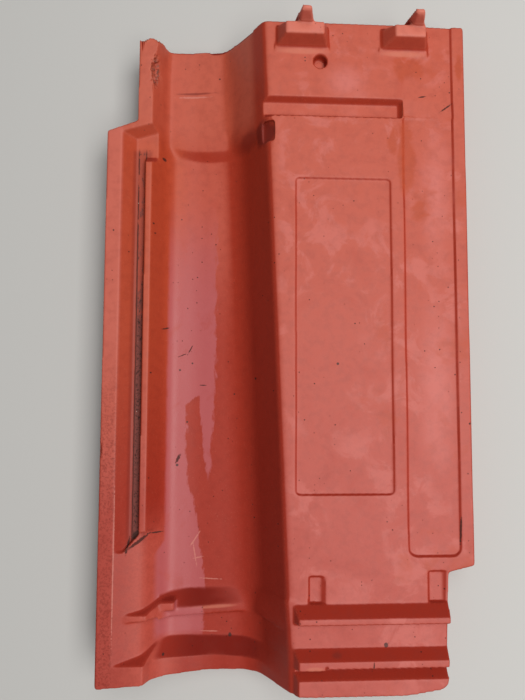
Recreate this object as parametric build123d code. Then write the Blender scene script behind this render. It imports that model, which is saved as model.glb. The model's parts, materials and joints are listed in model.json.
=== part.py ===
import os
from math import asin, atan2, degrees, hypot, sin

from build123d import *

# A pressed clay roof tile with a flat pan and a hollow roll, drawn underside up.
# X runs across from the cover flange, Y from the tail to the head, and the pan's underside is Z = 0.
# A setback is a distance from the head end, and an inset one from the right edge.

# Plan
pan_length = 448.0
tile_width = 251.0
roll_overhang = 7.0
roll_overhang_start = 116.0
head_cut_width = 21.6
head_cut_length = 61.7
head_cut_slant = 8.3
tail_cut_width = 17.5
tail_cut_length = 74.6
tail_cut_slant = 4.0
tail_cut_taper = 3.0
tail_corner_length = 25.5
tail_corner_rise = 3.9
tail_corner_radius = 7.0
tail_bend_radius = 40.0
plan_corner_radius = 2.0

# How far apart the laid tiles are
cover_width = 212.0
head_lap = 63.0
joint_clearance = 1.0

# Clay thickness
pan_thickness = 12.0
roll_thickness = 10.0
flange_thickness = 12.0
lap_step = 4.0

# Cover flange with its interlocking groove, between two aprons that slope into the hollow
flange_level = -23.0
rim_width = 10.5
groove_side_x = 20.0
groove_width = 7.5
groove_depth = 7.0
groove_draft = 0.7
groove_lip_width = 4.6
groove_tail = ((16.6, 82.2), (27.6, 94.5))
lip_tail_y = 96.0
lip_head_setback = 92.0
lip_end_slope = 5.0
apron_bend = (20.5, -6.0)
apron_edge = (30.0, -14.5)
apron_radius = 18.0
groove_end_setback = 70.0
groove_end_angle = 16.8
groove_end_slope = 0.79

# Hollow of the roll. Its crest line runs nearer to the flange at the head than at the tail, so the
# right foot of each section is given back from the crest. The radii round off foot, floor and right foot.
crest_tail_x = 130.0
crest_head_x = 110.6
crest_radius = 6.0
trough = {
    "left": 0.0,
    "foot": (43.0, -42.0),
    "floor": (64.0, -44.0),
    "right": (21.5, -40.5),
    "radii": (14, 60, 27),
}
neck = {
    "left": 0.0,
    "foot": (41.0, -39.5),
    "floor": (62.0, -39.3),
    "right": (25.5, -36.0),
    "radii": (5, 60, 9),
}
rib_top = {
    "left": 3.0,
    "foot": (46.0, -37.0),
    "floor": (70.0, -37.5),
    "right": (23.5, -38.3),
    "radii": (8, 60, 9),
}
lip_top = {
    "left": 4.6,
    "foot": (42.0, -34.0),
    "floor": (75.0, -38.0),
    "right": (23.0, -33.0),
    "radii": (25, 60, 27),
}
neck_setback = 73.0
neck_slope = 7.0
neck_flare = 4.4
neck_flare_length = 20.0
scoop_x, scoop_y_setback, scoop_depth = 118.5, (85.0, 70.5), 12.0

# Bars across the tail, in the pan and in the hollow, as places of tail side, top and foot
bar_height = 5.0
lip_height = 4.5
lip_length = 10.1
lip_slope = 5.0
bar_places = ((17.1, 21.7, 28.2), (43.8, 47.8, 55.7))
bar_end_slope = 5.0
bar_block_right_x = 151.4
bar_block_reach = 1.1
rib_places = (37.0, 42.2, 54.5)
rib_skew = 3.0
rib_ledge_x, rib_ledge_places, rib_ledge_drop = 18.0, (35.5, 40.0, 47.0), 2.0
rib_pad_base = ((31.6, 53.0), (38.0, 48.0))
rib_pad_top = ((34.0, 51.2), (39.3, 45.5))
rib_pad_level = -33.5
hollow_lip_places = (7.7, 19.5)
bar_root = 3.0

# Shallow recesses of the pan
panel_x, panel_tail_y, panel_head_setback = (132.6, 198.3), 124.7, 110.3
panel_depth = 1.0
panel_radius = 3.0
recess_insets, recess_tail_y = (44.0, 8.7), 84.7
recess_depth = 1.2
recess_radius = 6.0
pocket_depth = 2.0
pocket_slope = 4.0
pockets = (((141.1, 152.6), 73.0), ((219.9, 233.0), 75.7))

# Transverse groove near the head
cross_groove_setbacks = (66.0, 58.5, 53.5)
cross_groove_end_inset = 43.7
cross_groove_depth = 4.0
cross_groove_draft = 0.8

# Batten lugs, each with a nib behind its top whose left side slants back, and the nail hole
lug_height = 10.0
nib_height = 11.5
lug_setbacks, lug_top_setbacks = (19.0, 4.0), (14.4, 6.2)
nib_setbacks, nib_top_setbacks = (7.2, 0.8), (6.0, 2.4)
lug_ramp_length = 4.0
lug_ramp_height = 0.8
left_lug = {
    "base": (118.4, 155.9),
    "top": (125.4, 151.2),
    "nib": (131.0, 145.5),
    "nib_top": (134.8, 141.6),
    "nib_face_left": 135.6,
}
right_lug = {
    "base": (190.9, 224.8),
    "top": (200.4, 220.8),
    "nib": (207.0, 222.0),
    "nib_top": (210.6, 217.2),
    "nib_face_left": 213.0,
}
nail_hole_x, nail_hole_setback = 149.8, 28.0
nail_hole_diameter = 9.4
nail_hole_depth = 6.0

# Weather face: side rib, water channel and head ribs that fit the next tile
valley_radius = 8.0
flange_valley_radius = 4.0
side_rib_radius = 1.5
side_edge_step = 1.0
channel_depth = 4.0
channel_width = 14.0
channel_slope = 2.0
channel_gap = 2.0
check_rib_width = 6.0
head_rib_width = 6.0

# How far the cutting shapes reach past the tile, and the added ones into it
clear = 20.0
deep = 100.0
root = 1.0

# Places that follow from the sizes above
groove_right_x = groove_side_x + groove_width
hollow_left_x = groove_right_x + groove_lip_width
trough_level = trough["floor"][1]
neck_start_y = pan_length - neck_setback
cover_length = pan_length - head_lap
side_rib_x = groove_side_x + groove_width / 2 + cover_width
side_rib_width = groove_width - 2 * joint_clearance
side_rib_level = flange_level - groove_depth + 2 * joint_clearance


def from_head(setbacks):
    return [pan_length - setback for setback in setbacks]


def along_y(profile, y_start, y_end):
    face = Plane.XZ.offset(-y_start) * make_face(Polyline(*profile, close=True))
    return extrude(face, y_end - y_start, dir=(0, 1, 0))


def along_x(profile, x_start, x_end):
    face = Plane.YZ.offset(x_start) * make_face(Polyline(*profile, close=True))
    return extrude(face, x_end - x_start, dir=(1, 0, 0))


def upright(corners, z_bottom, z_top):
    return Pos(0, 0, z_bottom) * extrude(make_face(Polyline(*corners, close=True)), z_top - z_bottom)


def block(x_range, y_range, z_range):
    corner = (x_range[0], y_range[0], z_range[0])
    size = (x_range[1] - x_range[0], y_range[1] - y_range[0], z_range[1] - z_range[0])
    return Pos(*corner) * Box(*size, align=(Align.MIN, Align.MIN, Align.MIN))


def frustum(x_base, y_base, x_top, y_top, z_base, z_top):
    def side(base, top):
        return [(base[0], z_base), (base[1], z_base), (top[1], z_top), (top[0], z_top)]

    return along_y(side(x_base, x_top), *y_base) & along_x(side(y_base, y_top), *x_base)


def rounded(face, corners, radii):
    for corner, radius in zip(corners, radii):
        vertex = face.vertices().sort_by_distance((*corner, 0))[0]
        face = fillet(vertex, radius)
    return face


def pushed_out(points, distance):
    # The same bent line drawn at a distance below it
    normals = []
    for (x0, z0), (x1, z1) in zip(points, points[1:]):
        length = hypot(x1 - x0, z1 - z0)
        normals.append(((z1 - z0) / length, (x0 - x1) / length))
    moved = []
    for i, (x, z) in enumerate(points):
        before, after = normals[max(i - 1, 0)], normals[min(i, len(normals) - 1)]
        share = distance / (1 + before[0] * after[0] + before[1] * after[1])
        moved.append((x + share * (before[0] + after[0]), z + share * (before[1] + after[1])))
    return moved


def crest_x(y):
    return crest_tail_x + (crest_head_x - crest_tail_x) * y / pan_length


def hollow_line(y, form):
    # Left edge, left foot, lowest place, right foot and crest of the hollow at one place along the tile
    crest = crest_x(y)
    back, right_level = form["right"]
    left = (hollow_left_x - form["left"], flange_level)
    return [left, form["foot"], form["floor"], (crest - back, right_level), (crest, 0)]


def hollow_face(y, form):
    line = hollow_line(y, form)
    left_x, crest = line[0][0], line[-1][0]
    rest = [(crest + clear, 0), (crest + clear, clear), (left_x, clear)]
    face = make_face(Polyline(*line, *rest, close=True))
    return Plane.XZ.offset(-y) * rounded(face, line[1:], (*form["radii"], crest_radius))


def hollow_tool():
    flared = dict(neck, left=-neck_flare * (clear + neck_flare_length) / neck_flare_length)
    sections = [
        hollow_face(-clear, trough),
        hollow_face(neck_start_y - neck_slope, trough),
        hollow_face(neck_start_y, neck),
        hollow_face(pan_length - neck_flare_length, neck),
        hollow_face(pan_length + clear, flared),
    ]
    return loft(sections, ruled=True)


def plan_outline():
    head_y, right_x = pan_length, tile_width
    cut_y = head_y - head_cut_length
    notch_x = tile_width - tail_cut_width
    tail_x = notch_x - tail_cut_taper
    corners = [
        (0, -roll_overhang),
        (roll_overhang_start, 0),
        (tail_x - tail_corner_length, 0),
        (tail_x, tail_corner_rise),
        (notch_x, tail_cut_length),
        (right_x, tail_cut_length + tail_cut_slant),
        (right_x, head_y),
        (head_cut_width, head_y),
        (head_cut_width, cut_y),
        (0, cut_y - head_cut_slant),
    ]
    face = make_face(Polyline(*corners, close=True))
    face = rounded(face, corners[2:4], (tail_bend_radius, tail_corner_radius))
    small = [corners[i] for i in (0, 4, 5, 6, 7, 9)]
    return rounded(face, small, [plan_corner_radius] * len(small))


def weather_face(y):
    # Space under the tile, bounded by the outside of the roll and by the side rib and water channel
    flange_bottom = flange_level - flange_thickness
    pan_bottom = -pan_thickness
    outer = pushed_out(hollow_line(y, trough), roll_thickness)

    def at_level(a, b, z):
        return a[0] + (b[0] - a[0]) * (z - a[1]) / (b[1] - a[1]), z

    left = at_level(outer[0], outer[1], flange_bottom)
    right = at_level(outer[3], outer[4], pan_bottom)
    rib_left, rib_right = side_rib_x - side_rib_width / 2, side_rib_x + side_rib_width / 2
    channel_right = rib_left - channel_gap
    channel_left = channel_right - channel_width
    check_top = pan_bottom - channel_depth
    points = [
        left,
        *outer[1:4],
        right,
        (channel_left - 2 * check_rib_width, pan_bottom),
        (channel_left - check_rib_width, check_top),
        (channel_left, check_top),
        (channel_left + channel_slope, pan_bottom),
        (channel_right, pan_bottom),
        (rib_left, side_rib_level),
        (rib_right, side_rib_level),
        (rib_right + side_edge_step, pan_bottom - side_edge_step),
        (tile_width + clear, pan_bottom - side_edge_step),
        (tile_width + clear, -deep),
        (-clear, -deep),
        (-clear, flange_bottom),
    ]
    face = make_face(Polyline(*points, close=True))
    radii = [radius + roll_thickness for radius in trough["radii"]]
    face = rounded(face, points[:5], (flange_valley_radius, *radii, valley_radius))
    face = rounded(face, points[10:12], (side_rib_radius, side_rib_radius))
    return Plane.XZ.offset(-y) * face


def weather_tool():
    return loft([weather_face(-clear), weather_face(pan_length + clear)], ruled=True)


def pan_bars():
    left, right = crest_x(0), tile_width
    lip_foot = lip_length + lip_slope
    profiles = [[(-clear, lip_height), (lip_length, lip_height), (lip_foot, 0)]]
    for y_tail, y_top, y_foot in bar_places:
        profiles.append([(y_tail, bar_height), (y_top, bar_height), (y_foot, 0)])
    bars = Part()
    for profile in profiles:
        bars += along_x([(profile[0][0], -root), *profile, (profile[-1][0], -root)], left - clear, right)
    y_tail, y_top, y_foot = bar_places[0]
    bars += block((left - clear, bar_block_right_x), (y_tail - bar_block_reach, y_top), (-root, bar_height))
    past, above, below = left - 2 * clear, bar_height + root, -2 * root
    slope = [(past, below), (left, below), (left + bar_end_slope, above), (past, above)]
    return bars - along_y(slope, -clear, pan_length)


def hollow_bar(y_tail, y_top, y_foot, form):
    # Clay left standing in the hollow, level from y_tail to y_top, then sloping down to y_foot
    y_end = y_foot + bar_root
    share = bar_root / (y_foot - y_top)

    def sunk(key, i):
        return trough[key][i] + share * (trough[key][i] - form[key][i])

    below = dict(
        trough,
        left=trough["left"] + share * (trough["left"] - form["left"]),
        foot=(sunk("foot", 0), sunk("foot", 1)),
        floor=(sunk("floor", 0), sunk("floor", 1)),
        right=(sunk("right", 0), sunk("right", 1)),
    )
    bar = block((hollow_left_x, crest_x(0)), (y_tail, y_end - root), (trough_level - bar_root, 0))
    sections = [hollow_face(y_end, below), hollow_face(y_top, form), hollow_face(y_tail - root, form)]
    return bar - loft(sections, ruled=True)


def hollow_bars():
    lip_y, lip_foot = hollow_lip_places
    middle_x, middle_y = crest_x(0) - rib_top["right"][0], rib_places[1]
    turn = Pos(middle_x, middle_y, 0) * Rot(0, 0, rib_skew) * Pos(-middle_x, -middle_y, 0)
    pad = frustum(*rib_pad_base, *rib_pad_top, trough_level, rib_pad_level)
    return hollow_bar(-clear, lip_y, lip_foot, lip_top) + turn * hollow_bar(*rib_places, rib_top) + pad


def apron(y_start, y_end):
    corners = [
        (rim_width, flange_level),
        (rim_width + apron_bend[0], flange_level + apron_bend[1]),
        (rim_width + apron_edge[0], flange_level + apron_edge[1]),
        (rim_width + apron_edge[0], flange_level),
    ]
    face = rounded(make_face(Polyline(*corners, close=True)), [corners[1]], [apron_radius])
    return extrude(Plane.XZ.offset(-y_start) * face, y_end - y_start, dir=(0, 1, 0))


def past_groove_tail(right_x):
    # The plan from the groove's slanting tail end to the head, up to right_x there
    (tail_x, tail_y), (head_x, head_y) = groove_tail
    return [(0, tail_y), (tail_x, tail_y), (head_x, head_y), (right_x, pan_length), (0, pan_length)]


def tail_apron():
    # Runs from the lip at the tail to the groove, under the ledge at the rib's end
    lip_y, lip_foot = hollow_lip_places
    lowest = flange_level + apron_edge[1]
    cut = apron(0, lip_tail_y)
    cut -= along_x([(-clear, lowest), (-clear, clear), (lip_y, flange_level), (lip_foot, lowest)], 0, deep)
    cut -= upright(past_groove_tail(groove_tail[1][0]), -deep, 0)
    y_tail, y_top, y_foot = rib_ledge_places
    top = flange_level - rib_ledge_drop
    return cut - along_x([(y_tail, lowest), (y_tail, top), (y_top, top), (y_foot, lowest)], rib_ledge_x, deep)


def groove_cut():
    floor = flange_level - groove_depth
    groove = along_y(
        [
            (rim_width, flange_level),
            (groove_side_x, floor),
            (groove_right_x - groove_draft, floor),
            (groove_right_x, flange_level),
        ],
        0,
        pan_length,
    )
    groove &= upright(past_groove_tail(groove_right_x), -deep, 0)
    lip_end = pan_length - lip_head_setback
    past_lip = [
        (lip_end, flange_level),
        (lip_end + lip_end_slope, floor),
        (pan_length, floor),
        (pan_length, flange_level),
    ]
    groove += along_x(past_lip, groove_right_x - root, hollow_left_x + groove_lip_width)
    slope = groove_end_slope * deep
    end_wall = [(-pan_length, -deep), (-slope, -deep), (slope, deep), (-pan_length, deep)]
    place = Pos(rim_width, pan_length - groove_end_setback, flange_level) * Rot(0, 0, groove_end_angle)
    return groove & place * along_x(end_wall, -deep, deep)


def flange_cuts():
    level = block((-clear, hollow_left_x + neck_flare), (-clear, pan_length + clear), (flange_level, clear))
    return level + groove_cut() + tail_apron()


def pan_cuts():
    x_left, x_right = panel_x
    y_low, y_high = panel_tail_y, pan_length - panel_head_setback
    panel = Rectangle(x_right - x_left, y_high - y_low)
    panel = fillet(panel.vertices(), panel_radius)
    cuts = Pos((x_left + x_right) / 2, (y_low + y_high) / 2, -panel_depth) * extrude(panel, clear)

    r_left, r_right = (tile_width - inset for inset in recess_insets)
    y_floor_tail, y_floor_head, y_head = from_head(cross_groove_setbacks)
    recess = Rectangle(r_right - r_left, y_floor_tail - recess_tail_y)
    recess = fillet(recess.vertices().group_by(Axis.Y)[0], recess_radius)
    middle = ((r_left + r_right) / 2, (recess_tail_y + y_floor_tail) / 2)
    cuts += Pos(*middle, -recess_depth) * extrude(recess, clear)
    wedge = [(r_left, 0), (r_right, -recess_depth), (r_right, clear), (r_left, clear)]
    cuts += along_y(wedge, y_floor_tail, pan_length + clear)

    groove = [
        (y_floor_tail - cross_groove_draft, 0),
        (y_floor_tail, -cross_groove_depth),
        (y_floor_head, -cross_groove_depth),
        (y_head, 0),
    ]
    cuts += along_x(groove, crest_head_x - clear, tile_width - cross_groove_end_inset)

    for (x0, x1), y_end in pockets:
        pocket = [(x0, -pocket_depth), (x1 - pocket_slope, -pocket_depth), (x1, 0), (x0, 0)]
        cuts += along_y(pocket, bar_places[1][2], y_end)

    scoop_tail, scoop_head = from_head(scoop_y_setback)
    cuts += block((crest_head_x, scoop_x), (scoop_tail, scoop_head), (-scoop_depth, clear))

    hole = Cylinder(nail_hole_diameter / 2, nail_hole_depth, align=(Align.CENTER, Align.CENTER, Align.MAX))
    return cuts + Pos(nail_hole_x, pan_length - nail_hole_setback, 0) * hole


def batten_lugs():
    made = []
    y_base, y_top = from_head(lug_setbacks), from_head(lug_top_setbacks)
    y_nib, y_nib_top = from_head(nib_setbacks), from_head(nib_top_setbacks)
    ramp_start = y_base[0] - lug_ramp_length
    ramp = [(ramp_start, -root), (ramp_start, 0), (y_base[0], lug_ramp_height), (y_base[1], -root)]
    for lug in (left_lug, right_lug):
        body = frustum(lug["base"], y_base, lug["top"], y_top, -root, lug_height)
        nib = frustum(lug["nib"], y_nib, lug["nib_top"], y_nib_top, -root, lug_height + nib_height)
        left_x, face_x = lug["nib"][0], lug["nib_face_left"]
        slant = [(face_x, y_nib[0]), (left_x, y_nib[1]), (left_x - clear, y_nib[1])]
        slant += [(left_x - clear, y_nib[0] - clear), (face_x, y_nib[0] - clear)]
        nib -= upright(slant, -deep, deep)
        made.append(body + nib + along_x(ramp, *lug["base"]))
    return made


def head_rib_edges():
    centres = [
        cover_length + lip_length + lip_slope / 2,
        cover_length + (bar_places[0][2] + bar_places[1][0]) / 2,
    ]
    return [centre + side * head_rib_width / 2 for centre in centres for side in (-1, 1)]


def head_lap_cuts(weather):
    # The head goes under the next course, so its weather face is lower, with two ribs left standing
    lifted = Pos(0, 0, lap_step) * weather
    edges = [cover_length] + head_rib_edges() + [pan_length + clear]
    bands = [
        block((-clear, tile_width + clear), (edges[i], edges[i + 1]), (-deep, 0))
        for i in range(0, len(edges), 2)
    ]
    return [lifted & band for band in bands]


def build_tile():
    outline = plan_outline()
    slab = Pos(0, 0, -deep) * extrude(outline, deep)
    reach = Pos(0, 0, -deep) * extrude(outline, 2 * deep)
    weather = weather_tool()
    tile = slab - hollow_tool()
    tile += pan_bars() & reach
    tile += hollow_bars() & reach
    tile -= flange_cuts()
    tile -= weather
    for cut in head_lap_cuts(weather):
        tile -= cut
    tile -= pan_cuts()
    for lug in batten_lugs():
        tile += lug
    return tile


def roll_circle(y):
    # The outside of the roll is round about this centre where the loose tile touches the floor
    radius = trough["radii"][2]
    centre_x, centre_z = pushed_out(hollow_line(y, trough), -radius)[3]
    return centre_x, centre_z, radius + roll_thickness


def resting_turn():
    # The loose tile lies on the crown of its roll, at the tail and at the head ribs, and on its side rib
    tail_x, tail_z, radius = roll_circle(0)
    head_x, head_z, radius = roll_circle(head_rib_edges()[-1])
    rib_x = side_rib_x + side_rib_width / 2 - side_rib_radius
    rib_z = side_rib_level + side_rib_radius
    across, down = rib_x - head_x, rib_z - head_z
    tilt = atan2(down, across) + asin((radius - side_rib_radius) / hypot(across, down))
    drop = (tail_x - head_x) * sin(tilt)
    pitch = atan2(drop, head_rib_edges()[-1])
    return Rot(-degrees(pitch), 0, 0) * Rot(0, degrees(tilt), 0)


tile = resting_turn() * build_tile()
box = tile.bounding_box()
tile = Pos(-(box.min.X + box.max.X) / 2, -(box.min.Y + box.max.Y) / 2, -box.min.Z) * tile
tile.label = "roof_tile"

os.makedirs("parts", exist_ok=True)
export_step(tile, "parts/roof_tile.step")
print("solids", len(tile.solids()), "volume", round(tile.volume), "size", tile.bounding_box().size)
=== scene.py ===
import json
from math import atan2, radians

import bmesh
import bpy
from mathutils import Euler, Matrix, Vector, noise


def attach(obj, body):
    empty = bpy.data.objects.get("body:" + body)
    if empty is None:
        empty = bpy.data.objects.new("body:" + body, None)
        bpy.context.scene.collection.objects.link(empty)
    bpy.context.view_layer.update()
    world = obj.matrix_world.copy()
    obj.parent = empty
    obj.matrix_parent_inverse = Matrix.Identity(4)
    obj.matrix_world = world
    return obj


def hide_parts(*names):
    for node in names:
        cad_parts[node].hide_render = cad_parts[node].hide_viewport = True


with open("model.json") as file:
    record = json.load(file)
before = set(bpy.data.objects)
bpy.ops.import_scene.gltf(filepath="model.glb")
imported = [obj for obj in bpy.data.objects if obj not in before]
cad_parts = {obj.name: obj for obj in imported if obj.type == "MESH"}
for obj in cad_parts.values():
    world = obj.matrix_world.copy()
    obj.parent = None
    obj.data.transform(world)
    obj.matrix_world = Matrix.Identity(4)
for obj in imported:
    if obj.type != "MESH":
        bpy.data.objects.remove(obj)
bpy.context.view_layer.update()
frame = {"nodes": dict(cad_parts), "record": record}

# Places on the tile are given as it is drawn flat, in tile millimetres: x from the cover flange, y from the
# tail, z from the pan's underside. Three mounts of the record then say how it lies on the floor.
flatPlaces = {"pan_underside": (172, 100, 0), "nail_hole": (149.8, 420, -3), "side_groove": (23.75, 230, -30)}
perMetre = 1000


def lyingTile():
    mounts = {m["name"]: m for m in frame["record"]["mounts"]}
    flat = {name: Vector(place) / perMetre for name, place in flatPlaces.items()}
    lying = {name: Vector(mounts[name]["pos_m"]) for name in flatPlaces}
    up = Vector(mounts["pan_underside"]["axis"])
    start = "pan_underside"
    others = [name for name in flatPlaces if name != start]
    flatAxes = Matrix([flat[name] - flat[start] for name in others] + [Vector((0, 0, 1))]).transposed()
    lyingAxes = Matrix([lying[name] - lying[start] for name in others] + [up]).transposed()
    turn = (lyingAxes @ flatAxes.inverted()).to_quaternion().to_matrix()
    place = lying[start] - turn @ flat[start]
    return Matrix.Translation(place) @ turn.to_4x4()


tileLie = lyingTile()

# Camera: straight above the tile and close to it, as in the photograph
photoView = {
    "above": 357.5,
    "overPlace": (110.6, 219.7, 0),
    "turns": (-3.93, -2.71, 0.41),
    "focalPixels": 540,
    "pixels": (525, 700),
    "sensor": 36,
    "nearest": 0.01,
}


def makeCamera():
    view = bpy.data.cameras.new("photoCamera")
    view.sensor_fit = "VERTICAL"
    view.sensor_height = photoView["sensor"]
    view.lens = photoView["sensor"] * photoView["focalPixels"] / photoView["pixels"][1]
    view.clip_start = photoView["nearest"]
    camera = bpy.data.objects.new("photoCamera", view)
    bpy.context.collection.objects.link(camera)
    flip = Matrix.Diagonal((1, -1, -1))
    toPhoto = Euler([radians(a) for a in photoView["turns"]], "XYZ").to_matrix() @ flip
    place = Vector(photoView["overPlace"]) - toPhoto.transposed() @ Vector((0, 0, photoView["above"]))
    look = tileLie.to_3x3() @ toPhoto.transposed() @ flip
    camera.matrix_world = Matrix.Translation(tileLie @ (place / perMetre)) @ look.to_4x4()
    bpy.context.scene.camera = camera


makeCamera()
print("camera placed")


# Shader maths: a link wraps one socket, and an expression on links adds its Math nodes
class Link:
    def __init__(self, finish, socket):
        self.finish = finish
        self.socket = socket

    def maths(self, operation, *values):
        return self.finish.node("ShaderNodeMath", {"operation": operation}, dict(enumerate(values)))

    def __add__(self, other):
        return self.maths("ADD", self, other)

    def __radd__(self, other):
        return self.maths("ADD", other, self)

    def __sub__(self, other):
        return self.maths("SUBTRACT", self, other)

    def __rsub__(self, other):
        return self.maths("SUBTRACT", other, self)

    def __mul__(self, other):
        return self.maths("MULTIPLY", self, other)

    def __rmul__(self, other):
        return self.maths("MULTIPLY", other, self)

    def highest(self, other):
        return self.maths("MAXIMUM", self, other)

    def lowest(self, other):
        return self.maths("MINIMUM", self, other)


class Finish:
    def __init__(self, name):
        self.material = bpy.data.materials.new(name)
        self.material.use_nodes = True
        self.tree = self.material.node_tree
        self.tree.nodes.clear()

    def node(self, kind, settings=None, values=None, output=0):
        made = self.tree.nodes.new(kind)
        for key, value in (settings or {}).items():
            setattr(made, key, value)
        for key, value in (values or {}).items():
            if isinstance(value, Link):
                self.tree.links.new(value.socket, made.inputs[key])
            else:
                made.inputs[key].default_value = value
        return Link(self, made.outputs[output]) if made.outputs else None

    def rise(self, value, low, high):
        # 0 at low, 1 at high, and smooth between
        values = {"Value": value, "From Min": low, "From Max": high}
        return self.node("ShaderNodeMapRange", {"interpolation_type": "SMOOTHSTEP"}, values)

    def within(self, value, low, high, soft):
        return self.rise(value, low - soft, low + soft) * self.rise(value, high + soft, high - soft)

    def cloud(self, place, size, detail=2.0, roughness=0.5, distortion=0.0):
        values = {"Vector": place, "Scale": 1 / size, "Detail": detail, "Roughness": roughness}
        values["Distortion"] = distortion
        return self.node("ShaderNodeTexNoise", {"noise_dimensions": "3D"}, values)

    def stretched(self, place, scales, shift=(0, 0, 0)):
        values = {"Vector": place, "Scale": scales, "Location": shift}
        return self.node("ShaderNodeMapping", {"vector_type": "POINT"}, values)

    def specks(self, place, spacing, size, share, seed):
        # Round specks, one at most in each cell, of sizes up to the given one, in a share of the cells.
        # The seed only moves the cells along.
        moved = self.stretched(place, (1, 1, 1), (seed * 17.3, seed * 5.9, seed * 11.1))
        settings = {"voronoi_dimensions": "3D", "feature": "F1"}
        values = {"Vector": moved, "Scale": 1 / spacing, "Randomness": 0.9}
        near = self.node("ShaderNodeTexVoronoi", settings, values, 0)
        cell = Link(self, near.socket.node.outputs["Color"])
        lot = self.node("ShaderNodeSeparateColor", {}, {0: cell}, 0)
        radius = self.rise(lot, 1 - share, 1.0) * (size / spacing)
        return self.rise(radius - near, 0.0, 0.25 * size / spacing)

    def mix(self, share, first, second):
        settings = {"data_type": "RGBA", "blend_type": "MIX", "clamp_factor": True}
        return self.node("ShaderNodeMix", settings, {0: share, 6: first, 7: second}, 2)

    def surface(self, values):
        shader = self.node("ShaderNodeBsdfPrincipled", {}, values)
        self.node("ShaderNodeOutputMaterial", {}, {"Surface": shader})
        return self.material


# Floor and light
studio = {
    "floorSize": 6.0,
    "floorColour": (0.62, 0.61, 0.59, 1),
    "floorRoughness": 0.9,
    "sky": (0.93, 0.97, 1.0),
    "skyStrength": 0.17,
    "softboxes": [
        # name, place, aimed at, size, watts, colour
        ("right", (1.1, 0.0, 1.9), (1.1, 0, 0), 1.1, 28, (1.0, 0.985, 0.96)),
        ("tailRight", (1.1, -1.1, 1.9), (1.1, -1.1, 0), 1.1, 16, (1.0, 0.985, 0.96)),
        ("headRight", (0.4, 1.1, 1.9), (0.4, 1.1, 0), 1.1, 11, (1.0, 0.985, 0.96)),
    ],
}


def makeStudio():
    work = bmesh.new()
    bmesh.ops.create_grid(work, x_segments=1, y_segments=1, size=studio["floorSize"] / 2)
    mesh = bpy.data.meshes.new("paleFloor")
    work.to_mesh(mesh)
    work.free()
    floor = bpy.data.objects.new("paleFloor", mesh)
    bpy.context.collection.objects.link(floor)
    plaster = {"Base Color": studio["floorColour"], "Roughness": studio["floorRoughness"]}
    mesh.materials.append(Finish("palePlaster").surface(plaster))
    for name, place, aim, size, watts, colour in studio["softboxes"]:
        light = bpy.data.lights.new(name, "AREA")
        light.shape = "SQUARE"
        light.size = size
        light.energy = watts
        light.color = colour
        lamp = bpy.data.objects.new(name, light)
        bpy.context.collection.objects.link(lamp)
        lamp.location = place
        lamp.rotation_euler = (Vector(aim) - Vector(place)).to_track_quat("-Z", "Y").to_euler()
    world = bpy.data.worlds.new("softSky")
    bpy.context.scene.world = world
    world.use_nodes = True
    sky = world.node_tree.nodes["Background"]
    sky.inputs["Color"].default_value = (*studio["sky"], 1)
    sky.inputs["Strength"].default_value = studio["skyStrength"]
    bpy.context.scene.view_settings.view_transform = "Standard"


makeStudio()
print("studio made")


# The tile: pressed clay has soft edges, so a copy of the CAD shape is remeshed finely, relaxed and thinned
tileShape = {
    "mergeWithin": 0.00012,
    "grainSize": 0.00075,
    "relaxSteps": 3,
    "relaxShare": 0.5,
    "triangles": 185000,
}

# Small forms that the pressed clay shows slanted, bent or run out: lowest and highest place
reshaped = {
    "neckStep": ((42, 345, -46), (106, 400, -8)),
    "neckWallFoot": ((76, 380, -44), (106, 460, -14)),
    "scoopFloor": ((107, 362, -12.6), (119.2, 378.2, 0)),
    "headGroove": ((104, 383, -4.6), (207.6, 394.5, -0.2)),
    "headGrooveEnd": ((204.6, 381, -4.6), (207.6, 394.5, -0.2)),
    "recessStep": ((207.6, 382.2, -1.5), (242.5, 394, 0.1)),
    "sideRibEnd": ((229.8, -9, -29.5), (234.2, 74.2, -12)),
}
reshapedBy = {
    "neckBend": 4.2,
    "wallFootRise": 1.3,
    "slantRise": 0.9,
    "grooveSlant": 2.0,
    "recessDrop": 1.2,
    "panBack": -12,
}

# Where the mould left the underside softer: lowest and highest place, and steps of relaxing
softened = {
    "hollowFeet": ((33, 62, -46), (104, 362, -12), 30),
    "neckSlope": ((36, 352, -46), (110, 386, -12), 14),
    "neckRightFoot": ((72, 384, -46), (112, 450, -10), 60),
    "neckLeftFoot": ((37, 384, -46), (60, 450, -20), 12),
    "scoop": ((103, 357, -13.5), (122, 382, -0.05), 30),
    "hollowBars": ((30, 8, -46), (112, 62, -12), 8),
    "lugs": ((116, 424, 1.2), (228, 449, 10.8), 4),
    "leftNib": ((126, 438, 10.8), (150, 449, 24), 26),
    "rightNib": ((203, 438, 10.8), (226, 449, 24), 26),
}

# Chips: middle, half sizes, how far and which way the clay is pushed in, and how broken it is
chips = {
    "headCorner": ((24.0, 449.0, -24.0), (4.2, 3.6, 5.0), (1.6, -2.4, -0.6), 0.5),
    "headCornerRight": ((35.2, 447.6, -25.5), (3.2, 2.6, 4.0), (-0.4, -1.5, -1.2), 0.5),
    "neckRim": ((34.0, 424.0, -24.5), (3.6, 11.5, 4.5), (-2.6, 0, -1.6), 0.6),
    "barNick": ((151.9, 17.1, 5.0), (1.1, 2.0, 1.5), (0, 0.8, -0.5), 0.2),
    "flangeRim": ((-0.2, 152.0, -22.8), (1.6, 5.0, 1.8), (0.8, 0, -0.5), 0.4),
}
chipping = {"reach": 1.4, "steepness": 2.5, "rimNoise": 0.7, "floorNoise": 1.9}


def drawnClay():
    work = bmesh.new()
    work.from_mesh(frame["nodes"]["roof_tile"].data)
    bmesh.ops.remove_doubles(work, verts=work.verts, dist=tileShape["mergeWithin"])
    print("open edges", sum(not e.is_manifold for e in work.edges))
    return work


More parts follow.
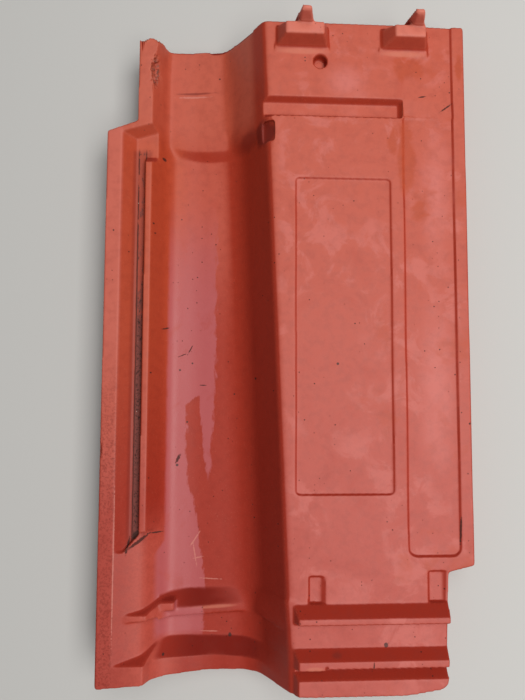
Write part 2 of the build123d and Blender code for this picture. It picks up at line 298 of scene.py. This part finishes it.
def finished(work, modifiers):
    # The shape after the given modifiers, as a new mesh
    mesh = bpy.data.meshes.new("clayWork")
    work.to_mesh(mesh)
    work.free()
    holder = bpy.data.objects.new("clayWork", mesh)
    bpy.context.collection.objects.link(holder)
    for kind, settings in modifiers:
        modifier = holder.modifiers.new(kind.lower(), kind)
        for key, value in settings.items():
            setattr(modifier, key, value)
    graph = bpy.context.evaluated_depsgraph_get()
    made = bpy.data.meshes.new_from_object(holder.evaluated_get(graph))
    bpy.data.objects.remove(holder)
    bpy.data.meshes.remove(mesh)
    return made


def relax(work, verts, steps):
    allAxes = {"use_axis_x": True, "use_axis_y": True, "use_axis_z": True}
    for step in range(steps):
        bmesh.ops.smooth_vert(work, verts=verts, factor=tileShape["relaxShare"], **allAxes)


def laidFlat(work):
    # Each point with its place on the flat tile
    turnBack = tileLie.inverted()
    return [(v, turnBack @ v.co * perMetre) for v in work.verts]


def layDown(flatPlace):
    for v, place in flatPlace:
        v.co = tileLie @ (place / perMetre)


def inBox(flatPlace, low, high):
    (x0, y0, z0), (x1, y1, z1) = low, high
    return [(v, p) for v, p in flatPlace if y0 < p.y < y1 and x0 < p.x < x1 and z0 < p.z < z1]


def soften(work, flatPlace):
    up = tileLie.to_3x3() @ Vector((0, 0, 1))
    for low, high, steps in softened.values():
        relax(work, [v for v, place in inBox(flatPlace, low, high) if v.normal.dot(up) > 0.1], steps)


def reshape(flatPlace):
    def places(form):
        return [place for v, place in inBox(flatPlace, *reshaped[form])]

    # The step at the neck bends towards the tail in its middle, and the foot of the neck's wall is rounder
    for place in places("neckStep"):
        bend = 1 - ((place.x - 74) / 32) ** 2
        place.y -= reshapedBy["neckBend"] * bend * max(0, min(1, (place.y - 345) / 15, (400 - place.y) / 14))
    for place in places("neckWallFoot"):
        across = max(0, 1 - abs(place.x - 87) / 9) ** 2
        place.z += reshapedBy["wallFootRise"] * across * min(1, (place.y - 380) / 12)
    # The scoop's floor and the end of the groove near the head come up with a slant
    for place in places("scoopFloor"):
        place.z *= 1 - reshapedBy["slantRise"] * min(1, (place.x - 107) / 11.5)
    for place in places("headGroove"):
        share = (place.y - 383) / 6.5 if place.y < 389.5 else (394.5 - place.y) / 5
        place.y += reshapedBy["grooveSlant"] * share
    for place in places("headGrooveEnd"):
        place.z *= 1 - reshapedBy["slantRise"] * (place.x - 204.6) / 3
    # The step at the recess's head is a slope
    for place in places("recessStep"):
        share = (place.y - 381.5) / 12.5
        place.z = place.z * share - reshapedBy["recessDrop"] * (1 - share)
    # On the weather face the side rib runs out at the tail cut
    for place in places("sideRibEnd"):
        panBack = reshapedBy["panBack"]
        place.z = panBack + (place.z - panBack) * max(0, (place.y - 64) / 10.2)


def chip(flatPlace):
    # Pushes the clay in at the chips, with a broken, uneven bottom
    for middle, sizes, push, broken in chips.values():
        most = chipping["reach"] * Vector(sizes)
        for v, place in inBox(flatPlace, Vector(middle) - most, Vector(middle) + most):
            away = Vector([(place[i] - middle[i]) / sizes[i] for i in range(3)])
            if away.length < chipping["reach"]:
                reach = away.length + broken * noise.noise(place * chipping["rimNoise"])
                depth = max(0, min(1, (1 - reach) * chipping["steepness"]))
                place += Vector(push) * depth * (1 + broken * noise.noise(place * chipping["floorNoise"]))


def makeTile():
    remesh = {"mode": "VOXEL", "voxel_size": tileShape["grainSize"], "use_smooth_shade": True}
    mesh = finished(drawnClay(), [("REMESH", remesh)])
    print("remeshed faces", len(mesh.polygons))
    work = bmesh.new()
    work.from_mesh(mesh)
    flatPlace = laidFlat(work)
    reshape(flatPlace)
    layDown(flatPlace)
    relax(work, work.verts, tileShape["relaxSteps"])
    work.normal_update()
    soften(work, flatPlace)
    flatPlace = laidFlat(work)
    chip(flatPlace)
    layDown(flatPlace)
    share = tileShape["triangles"] / (2 * len(work.faces))
    mesh = finished(work, [("DECIMATE", {"decimate_type": "COLLAPSE", "ratio": share})])
    mesh.name = "clayTile"
    mesh.shade_smooth()
    print("tile triangles", sum(len(f.vertices) - 2 for f in mesh.polygons))
    tile = bpy.data.objects.new("clayTile", mesh)
    bpy.context.collection.objects.link(tile)
    return tile


clayTile = makeTile()
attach(clayTile, "root")
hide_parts("roof_tile")
print("tile shaped")


# Fired clay, in tile millimetres. The level faces are painted paler, as fine dust and painted sheen, and the
# slopes darker, as painted shade.
clayLook = {
    # Shaded clay is painted shade for the slopes; dust-and-light clay is dust with painted sheen and light
    # for the level faces
    "shadedClayHead": (0.42, 0.040, 0.016, 1),
    "shadedClayTail": (0.38, 0.032, 0.016, 1),
    "dustAndLightHead": (0.57, 0.108, 0.064, 1),
    "dustAndLightTail": (0.53, 0.102, 0.078, 1),
    # Pale mauve, a painted reflection of the sky on the satin streak
    "satinAndPaintedSheen": (0.50, 0.115, 0.120, 1),
    "paleEdge": (0.68, 0.21, 0.13, 1),
    "paleDust": (0.70, 0.200, 0.170, 1),
    "paleNib": (0.80, 0.25, 0.18, 1),
    # Colour of the scratches and of a painted highlight
    "scratchAndHighlight": (0.66, 0.240, 0.190, 1),
    "apron": (0.60, 0.110, 0.075, 1),
    # Orange painted on walls as the light falling on them
    "litOrange": (0.58, 0.100, 0.036, 1),
    "rubbed": (0.50, 0.074, 0.028, 1),
    "dark": (0.20, 0.018, 0.010, 1),
    # Painted shade for the slopes that face the head, deeper for those in the hollow
    "paintedSlopeShade": (0.29, 0.016, 0.004, 1),
    "paintedHollowSlopeShade": (0.17, 0.005, 0.001, 1),
    "soil": (0.040, 0.017, 0.014, 1),
    "mud": (0.15, 0.045, 0.036, 1),
    "speck": (0.62, 0.42, 0.36, 1),
    "roughness": 0.50,
    "satinRoughness": 0.40,
    "specularLevel": 0.28,
    "cornerReach": 0.0030,
    "edgeReach": 0.0014,
    "bumpDistance": 0.001,
}

# How much of each layer covers the ones before it
layers = {
    "paintedSlopeShade": 0.80,
    "neckWallLight": 0.25,
    "neckRightWallLight": 0.70,
    "neckLight": 0.25,
    "neckPale": 0.12,
    "litHollowSide": 0.42,
    "apron": 0.55,
    "litLugSides": 0.40,
    "lugTops": 0.50,
    "nibs": 0.60,
    "rimDust": 0.30,
    "grit": 0.45,
    "waterMarks": 0.36,
    "paleDust": 0.62,
    "rubbed": 0.85,
    "mottle": 0.16,
    "grain": 0.26,
    "highlightPlaces": 0.45,
    "satinAndPaintedSheen": 0.85,
    "corners": 0.50,
    "shade": 0.66,
    "scoop": 0.92,
    "groove": 0.45,
    "mud": 0.80,
    "soil": 0.85,
    "speck": 0.80,
    "scratchesAndHighlight": 0.60,
    "broken": 0.85,
    "pits": 0.85,
    "wearAndHighlight": 0.45,
}

# Strokes in tile millimetres: start, end, half width
soilStrokes = [
    ((18.0, 82.5), (34.8, 94.2), 0.9),
    ((34.0, 93.4), (42.0, 92.6), 0.5),
    ((22.4, 90.5), (26.2, 94.5), 1.6),
    ((20.5, 92.0), (18.4, 79.0), 0.7),
    ((50.0, 140.4), (53.0, 146.2), 0.9),
    ((39.0, 236.6), (44.5, 238.4), 0.4),
    ((57.0, 218.0), (61.5, 226.5), 0.35),
    ((50.5, 217.0), (57.0, 219.6), 0.35),
    ((218.0, 396.2), (224.0, 397.4), 0.4),
    ((233.4, 386.4), (242.4, 393.0), 0.5),
    ((181.7, 13.6), (182.2, 22.0), 0.35),
    ((66.0, 196.5), (71.5, 196.3), 0.35),
    ((241.6, 92.0), (242.6, 112.0), 0.5),
]
paleStrokes = [
    # The first stroke is a painted highlight on the lit side of the dent across the neck; the others are
    # scratches
    ((46.0, 412.4), (74.0, 413.2), 0.6),
    ((10.8, 14.0), (10.8, 135.0), 0.35),
    ((66.5, 58.4), (85.5, 57.6), 0.35),
    ((67.0, 21.6), (84.0, 21.6), 0.35),
    ((60.5, 80.0), (68.5, 92.0), 0.45),
    ((63.0, 72.0), (70.5, 73.5), 0.40),
    ((62.5, 86.0), (66.0, 66.0), 0.40),
]

# Places in tile millimetres: middle, half sizes, turn
# Painted highlights: pale strips at the lit feet of the lugs, on a bar top at the tail and on a rib top in
# the hollow
highlightPlaces = [
    ((137, 426.6, 0.4), (21, 2.6, 3), 0),
    ((208, 426.6, 0.4), (19, 2.6, 3), 0),
    ((144.5, 17.4, 5.0), (7.6, 2.2, 2.5), 0),
    ((77.0, 40.6, -36.0), (23, 1.7, 12), 0.03),
]
dustyPlaces = [
    ((228, 195, 0), (17, 75, 8), 0),
    ((230, 330, 0), (14, 62, 8), 0),
    ((168, 405, 0), (20, 16, 6), 0),
]
rubbedPlaces = [
    ((212, 418, 0), (13, 10, 6), 0),
    ((247, 418, 0), (3, 12, 6), 0),
    ((209, 350, 0), (7, 36, 6), 0),
    ((218, 318, 0), (9, 11, 6), 0),
    ((200, 365, 0), (5, 12, 6), 0),
]
darkPlaces = [
    ((61.5, 415.6, -39.0), (20, 1.3, 6), 0.03),
    ((158.5, 25.0, 3.0), (4.6, 2.6, 4), 0),
    ((101.0, 371.0, -20.0), (15, 8.5, 19), 0.35),
]
# The scoop is painted dark, as shade inside it
scoopPlaces = [((111.5, 370.0, -6.0), (10, 10.5, 11), 0)]
brokenPlaces = [
    ((34.0, 424.0, -24.5), (4.6, 12.0, 5.5), 0),
    ((24.6, 447.6, -24.0), (4.0, 3.4, 5.0), 0),
    ((35.2, 447.0, -25.5), (3.4, 2.6, 4.5), 0),
]

# Larger pits: x, y, size
deepPits = [
    (50.9, 138.6, 1.3), (57.6, 169.5, 0.9), (52.0, 207.5, 1.0), (61.0, 212.5, 0.9), (39.3, 362.6, 1.6),
    (191.1, 29.6, 1.8), (139.2, 422.4, 0.6), (139.3, 420.0, 0.6), (79.4, 426.4, 0.8), (90.1, 19.5, 1.6),
    (44.0, 10.0, 1.1), (51.8, 320.0, 0.7), (33.6, 311.6, 0.8), (34.6, 305.0, 0.7), (6.0, 305.5, 0.8),
    (92.0, 190.0, 0.8), (33.5, 205.0, 0.7), (161.0, 211.0, 1.1),
]


def firedClay():
    clay = Finish("firedClay")
    look = clayLook
    turnBack = tileLie.inverted()
    where = clay.node("ShaderNodeTexCoord", output=3)
    facing = Link(clay, where.socket.node.outputs["Normal"])
    values = {"Vector": where, "Location": turnBack.to_translation() * perMetre}
    values["Rotation"] = turnBack.to_euler()
    values["Scale"] = (perMetre, perMetre, perMetre)
    flat = clay.node("ShaderNodeMapping", {"vector_type": "POINT"}, values)
    x = clay.node("ShaderNodeSeparateXYZ", {}, {0: flat}, 0)
    y = Link(clay, x.socket.node.outputs["Y"])
    z = Link(clay, x.socket.node.outputs["Z"])

    def towards(direction):
        values = {0: facing, 1: tileLie.to_3x3() @ Vector(direction)}
        return clay.node("ShaderNodeVectorMath", {"operation": "DOT_PRODUCT"}, values, 1)

    broad = clay.cloud(flat, 60.0, 3.0, 0.55)
    patchy = clay.cloud(flat, 24.0, 5.0, 0.62, 0.6)
    mottle = clay.cloud(flat, 6.0, 4.0, 0.6)
    fine = clay.cloud(flat, 0.9, 3.0, 0.6)
    ragged = clay.cloud(clay.stretched(flat, (1.0, 0.35, 1.0)), 3.2, 5.0, 0.65)
    crumbled = clay.cloud(flat, 1.6, 4.0, 0.7)

    def nearest(shapes):
        # How far the nearest of the given ellipsoids is: 1 at its skin, 0 in its middle
        least = None
        for middle, sizes, turn in shapes:
            values = {"Vector": flat, "Location": middle, "Rotation": (0, 0, turn), "Scale": sizes}
            place = clay.node("ShaderNodeMapping", {"vector_type": "TEXTURE"}, values)
            far = clay.node("ShaderNodeVectorMath", {"operation": "LENGTH"}, {0: place}, 1)
            least = least.lowest(far) if least else far
        return least

    def drawn(strokes):
        # Uneven strokes on the underside
        shapes = []
        for start, end, half in strokes:
            along = Vector(end) - Vector(start)
            middle = (Vector(start) + Vector(end)) / 2
            shapes.append(((*middle, 0), (along.length / 2 + half, 1.5 * half, 200), atan2(along.y, along.x)))
        return clay.rise(nearest(shapes) + (crumbled - 0.5) * 1.6, 1.0, 0.6) * topSide

    def patch(shapes, uneven=0.0, soft=0.35):
        return clay.rise(nearest(shapes) + uneven, 1.0, 1.0 - soft)

    # Level faces are painted paler, as dust and painted sheen, and slopes darker, as painted shade, most of
    # all those that face the head
    topSide = clay.rise(towards((0, 0, 1)), 0.0, 0.2)
    level = clay.rise(towards((0, 0, 1)), 0.885, 0.985)
    headward = clay.rise(towards((0, 1, 0)), 0.16, 0.44) * topSide
    low = clay.rise(z, -8.0, -16.0)
    headShare = clay.rise(y, 40.0, 430.0)
    hollow = clay.within(x, 35.0, 112.0, 4.0) * low * topSide
    flange = clay.rise(x, 45.0, 40.0) * low
    # The hollow gets less of the paler colour, most towards the tail, as painted shade; the flange gets less
    # of it near the tail
    dustAndLightShare = 1 - hollow * (clay.rise(y, 320.0, 215.0) * 0.70 + 0.22)
    dustAndLightShare = dustAndLightShare - flange * clay.rise(y, 160.0, 90.0) * 0.55
    shadedClay = clay.mix(headShare, look["shadedClayTail"], look["shadedClayHead"])
    dustAndLightColour = clay.mix(headShare, look["dustAndLightTail"], look["dustAndLightHead"])
    dustAndLight = level * dustAndLightShare * (clay.rise(patchy, 0.20, 0.52) * 0.30 + 0.70)
    body = clay.mix(dustAndLight, shadedClay, dustAndLightColour)
    # Slopes that face the head are painted darker still, as shade, deepest in the hollow and less towards its
    # left side
    paintedSlopeShade = headward * (1 - clay.rise(x, 68.0, 42.0) * low * 0.65)
    slopeShadeColour = clay.mix(hollow, look["paintedSlopeShade"], look["paintedHollowSlopeShade"])
    body = clay.mix(paintedSlopeShade * layers["paintedSlopeShade"], body, slopeShadeColour)

    # The neck of the hollow and the left side of the hollow below it, painted lighter as light on their
    # walls; the apron paler, as dust and painted light
    neck = clay.rise(y, 366.0, 392.0) * low * topSide * (1 - headward)
    body = clay.mix(neck * (1 - level) * layers["neckWallLight"], body, look["litOrange"])
    neckLight = (neck * clay.rise(x, 78.0, 100.0) * layers["neckRightWallLight"]).highest(neck * layers["neckLight"])
    body = clay.mix(neckLight, body, look["dustAndLightHead"])
    body = clay.mix(neck * layers["neckPale"], body, look["paleEdge"])
    # The hollow's left side, whose wall faces the light, is painted orange as light on it
    litHollowSide = clay.rise(x, 62.0, 46.0) * clay.rise(y, 90.0, 260.0) * low * (1 - headward) * topSide
    body = clay.mix(litHollowSide * (1 - neck) * layers["litHollowSide"], body, look["litOrange"])
    apron = clay.rise(x, 60.0, 46.0) * clay.rise(x, 13.0, 30.0) * clay.rise(y, 120.0, 80.0)
    apron = apron * low * (1 - headward)
    body = clay.mix(apron * topSide * layers["apron"], body, look["apron"])

    # Lugs and their nibs
    # The lugs' sides are painted paler than the shaded slopes, as light on them
    litLugSides = clay.rise(z, 1.4, 2.4) * clay.rise(y, 418.0, 422.0) * (1 - level)
    body = clay.mix(litLugSides * layers["litLugSides"], body, look["dustAndLightHead"])
    lugTops = clay.rise(z, 8.8, 9.8) * clay.rise(z, 10.8, 10.3)
    body = clay.mix(lugTops * layers["lugTops"], body, look["paleNib"])
    body = clay.mix(clay.rise(z, 10.6, 11.6) * layers["nibs"], body, look["paleNib"])

    # The outer rim of the flange: dusty towards the head and gritty towards the tail
    outerRim = clay.rise(x, 12.5, 10.0) * topSide
    body = clay.mix(outerRim * clay.rise(y, 150.0, 240.0) * layers["rimDust"], body, look["paleDust"])
    grit = outerRim.highest(flange * 0.25) * clay.rise(y, 235.0, 150.0) * clay.rise(crumbled, 0.47, 0.60)
    body = clay.mix(grit * layers["grit"], body, look["dark"])

    # Water marks and pale dust on the pan, and places where the dust was rubbed off
    onPan = clay.rise(x, 118.0, 124.0) * clay.rise(z, -6.0, -3.0) * level
    marks = clay.rise(patchy, 0.50, 0.60) * clay.rise(broad, 0.40, 0.56) * onPan
    paleDust = patch(dustyPlaces, (patchy - 0.5) * 1.2, 0.9)
    marks = (marks * layers["waterMarks"]).highest(paleDust * layers["paleDust"])
    body = clay.mix(marks, body, look["paleDust"])
    rubbed = clay.rise(clay.cloud(flat, 34.0, 4.0, 0.6, 0.3), 0.56, 0.70) * onPan * clay.rise(x, 150.0, 215.0)
    rubbed = (rubbed * 0.6).highest(patch(rubbedPlaces, (patchy - 0.5) * 2.2, 0.5))
    body = clay.mix(rubbed * layers["rubbed"], body, look["rubbed"])
    body = clay.mix(clay.rise(mottle, 0.60, 0.28) * layers["mottle"], body, look["dark"])
    body = clay.mix(clay.rise(fine, 0.58, 0.80) * (1 - headward) * layers["grain"], body, look["paleEdge"])
    # Painted highlights on lit strips
    paintedHighlight = patch(highlightPlaces, (mottle - 0.5) * 0.3, 0.6) * (1 - headward)
    body = clay.mix(paintedHighlight * layers["highlightPlaces"], body, look["paleEdge"])

    # Satin streak along the bottom of the hollow, with a ragged right side: a smoother strip whose pale mauve
    # colour is a painted reflection of the sky
    bottom = clay.rise(z, -33.0, -37.0) * clay.rise(y, 16.0, 24.0) * clay.rise(y, 345.0, 290.0) * topSide
    wander = (ragged - 0.5) * 9.0
    leftEdge = 43.0 - clay.rise(y, 88.0, 74.0) * 8.0
    rightEdge = clay.rise(y, 140.0, 88.0) * 10.0 + clay.rise(y, 88.0, 60.0) * 4.0 + 57.0
    rightEdge = rightEdge + clay.rise(y, 180.0, 200.0) * 21.0
    strand = clay.rise(x + wander * 0.2, leftEdge - 1.0, leftEdge + 1.5)
    strand = strand * clay.rise(x + wander, rightEdge + 1.2, rightEdge - 0.8)
    spurPlace = y - 131.0
    spur = clay.rise(x + wander * 0.6, 71.5 - spurPlace * 0.11, 73.0 - spurPlace * 0.11)
    spur = spur * clay.rise(x + wander, 75.5 + spurPlace * 0.05, 73.5 + spurPlace * 0.05)
    streak = strand.highest(spur * clay.within(y, 131.0, 200.0, 5.0))
    satinAndPaintedSheen = streak * bottom * (clay.rise(patchy, 0.30, 0.45) * 0.3 + 0.7) * (1 - headward)
    satinAndPaintedSheen = satinAndPaintedSheen * (clay.rise(y, 330.0, 240.0) * 0.6 + 0.4)
    body = clay.mix(satinAndPaintedSheen * layers["satinAndPaintedSheen"], body, look["satinAndPaintedSheen"])

    # Painted shade in corners and creases, at the listed dark places, in the scoop and over the whole
    # interlocking groove; then soil in the groove
    nearby = {"samples": 1, "only_local": True}
    closed = 1 - clay.node("ShaderNodeAmbientOcclusion", nearby, {"Distance": look["cornerReach"]}, 1)
    cornerShade = clay.rise(closed + (mottle - 0.5) * 0.25, 0.34, 0.72)
    shade = patch(darkPlaces, (mottle - 0.5) * 0.5, 0.7) * topSide
    scoop = patch(scoopPlaces, (mottle - 0.5) * 0.4, 0.4)
    paintedShade = (cornerShade * layers["corners"]).highest(shade * layers["shade"]).highest(scoop * layers["scoop"])
    body = clay.mix(paintedShade, body, look["dark"])
    # The whole groove is painted darker, as shade in a deep, narrow groove
    groove = clay.within(y, 88.0, 366.0, 3.0) * clay.within(x, 17.0, 31.0, 1.5) * topSide
    groove = groove * clay.rise(z, -27.5, -29.4)
    body = clay.mix(groove * layers["groove"], body, look["dark"])
    soilShare = clay.rise(ragged + clay.rise(y, 290.0, 200.0) * 0.40 - 0.08, 0.44, 0.60)
    middle = clay.within(x + wander * 0.25, 22.2, 26.6, 0.8) * groove * soilShare
    sides = clay.within(x + wander * 0.12, 21.4, 22.3, 0.4).highest(clay.within(x, 26.6, 27.6, 0.4)) * groove
    sides = sides * clay.rise(ragged + clay.rise(y, 345.0, 230.0) * 0.35, 0.40, 0.50)
    body = clay.mix(middle * layers["mud"], body, look["mud"])
    soil = drawn(soilStrokes).highest(sides).highest(clay.rise(crumbled, 0.50, 0.62) * middle)
    body = clay.mix(soil * layers["soil"], body, look["soil"])
    pale = clay.specks(flat, 1.6, 0.40, 0.14, 4) * groove * clay.within(x, 21.5, 27.5, 0.5)
    body = clay.mix(pale * layers["speck"], body, look["speck"])
    # Pale strokes: scratches, and a painted highlight below the dent across the neck
    body = clay.mix(drawn(paleStrokes) * layers["scratchesAndHighlight"], body, look["scratchAndHighlight"])

    # Dirt in the broken clay at the chips
    broken = patch(brokenPlaces) * clay.rise(crumbled, 0.42, 0.56)
    body = clay.mix(broken * layers["broken"], body, look["soil"])

    # Pits: many small ones in patches, a few larger ones, and those that stand out
    shallow = clay.stretched(flat, (1.0, 1.0, 0.4))
    small = clay.specks(shallow, 3.4, 0.50, 0.55, 1) * clay.rise(clay.cloud(flat, 42.0, 2.0, 0.5), 0.47, 0.59)
    pits = small.highest(clay.specks(shallow, 13.0, 0.85, 0.34, 2))
    relief = fine * 0.035 + mottle * 0.09 + broad * 0.6 - pits * 0.40
    deep = nearest([((px, py, 0), (size, size, 200), 0) for px, py, size in deepPits])
    pits = pits.highest(clay.rise(deep + (crumbled - 0.5) * 0.8, 0.95, 0.65) * topSide)
    body = clay.mix(pits * layers["pits"], body, look["soil"])

    # Edges are painted paler, as wear and as painted highlights
    inward = {"samples": 1, "inside": True, "only_local": True}
    edges = 1 - clay.node("ShaderNodeAmbientOcclusion", inward, {"Distance": look["edgeReach"]}, 1)
    wearAndHighlight = clay.rise(edges + (mottle - 0.5) * 0.3, 0.40, 0.75) * (1 - shade) * (1 - scoop)
    body = clay.mix(wearAndHighlight * layers["wearAndHighlight"], body, look["paleEdge"])

    values = {"Height": relief, "Distance": look["bumpDistance"], "Strength": 1.0}
    normal = clay.node("ShaderNodeBump", {}, values)
    rough = look["roughness"] - satinAndPaintedSheen * (look["roughness"] - look["satinRoughness"]) + soil * 0.35
    rough = rough + headward * 0.38 + (mottle - 0.5) * 0.16 + (fine - 0.5) * 0.10
    values = {"Base Color": body, "Roughness": rough, "Normal": normal}
    values["Specular IOR Level"] = look["specularLevel"]
    return clay.surface(values)


clayTile.data.materials.append(firedClay())
print("clay finished")
